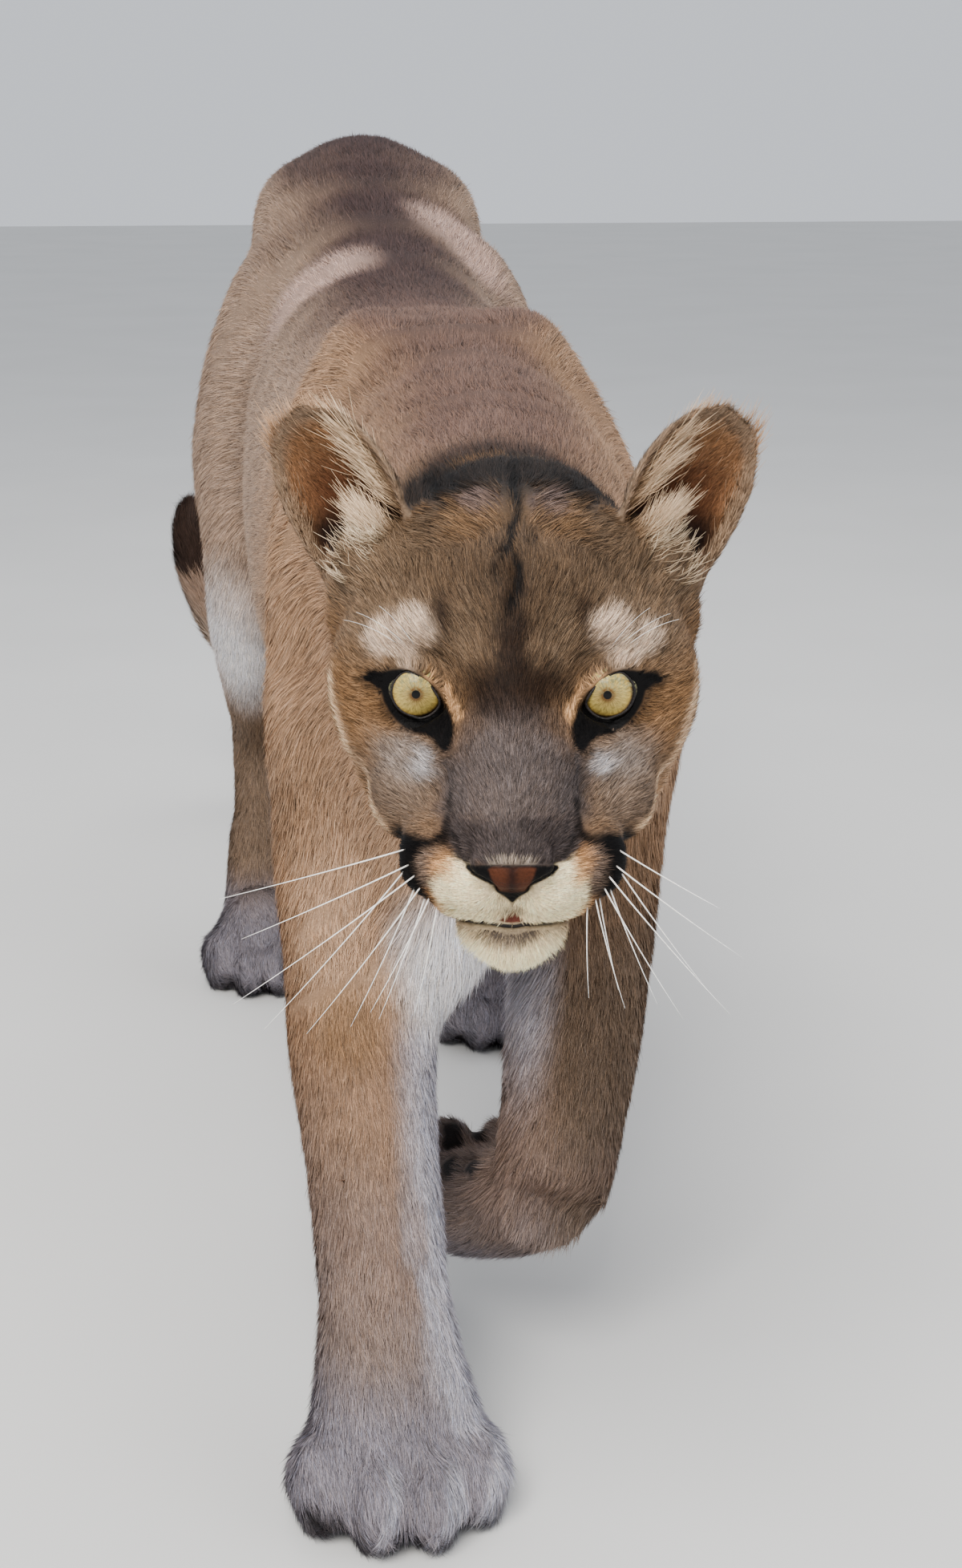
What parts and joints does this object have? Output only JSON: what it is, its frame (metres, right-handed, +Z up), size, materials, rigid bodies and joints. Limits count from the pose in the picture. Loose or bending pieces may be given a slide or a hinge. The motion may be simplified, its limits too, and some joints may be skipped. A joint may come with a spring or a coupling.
{
  "type": "cougar",
  "caption": "Life-size cougar walking low and slow, head forward and level with the back, one forepaw lifted and folded, tail hanging with its tip curled up.",
  "frame": {"origin": "middle of the bounding box on the floor, below the animal", "axes": "the animal faces -Y, its left side is +X and +Z is up; its length lies along Y"},
  "size_m": [0.3112, 1.5162, 0.6423],
  "materials": {
    "coat": "short dense fur",
    "tail_tip": "short dense dark fur",
    "ear": "thin fur, long pale hair inside",
    "eye": "wet and clear"
  },
  "bodies": {
    "root": {"chest": "coat", "ear_left": "ear", "ear_right": "ear", "eye_left": "eye", "eye_right": "eye", "forearm_left": "coat", "forearm_right": "coat", "forepaw_left": "coat", "forepaw_right": "coat", "head": "coat", "hind_foot_left": "coat", "hind_foot_right": "coat", "hindpaw_left": "coat", "hindpaw_right": "coat", "hips": "coat", "loins": "coat", "neck": "coat", "shank_left": "coat", "shank_right": "coat", "tail_bend": "coat", "tail_root": "coat", "tail_tip": "tail_tip", "tail_upper": "coat", "thigh_left": "coat", "thigh_right": "coat", "upper_arm_left": "coat", "upper_arm_right": "coat"}
  },
  "joints": []
}
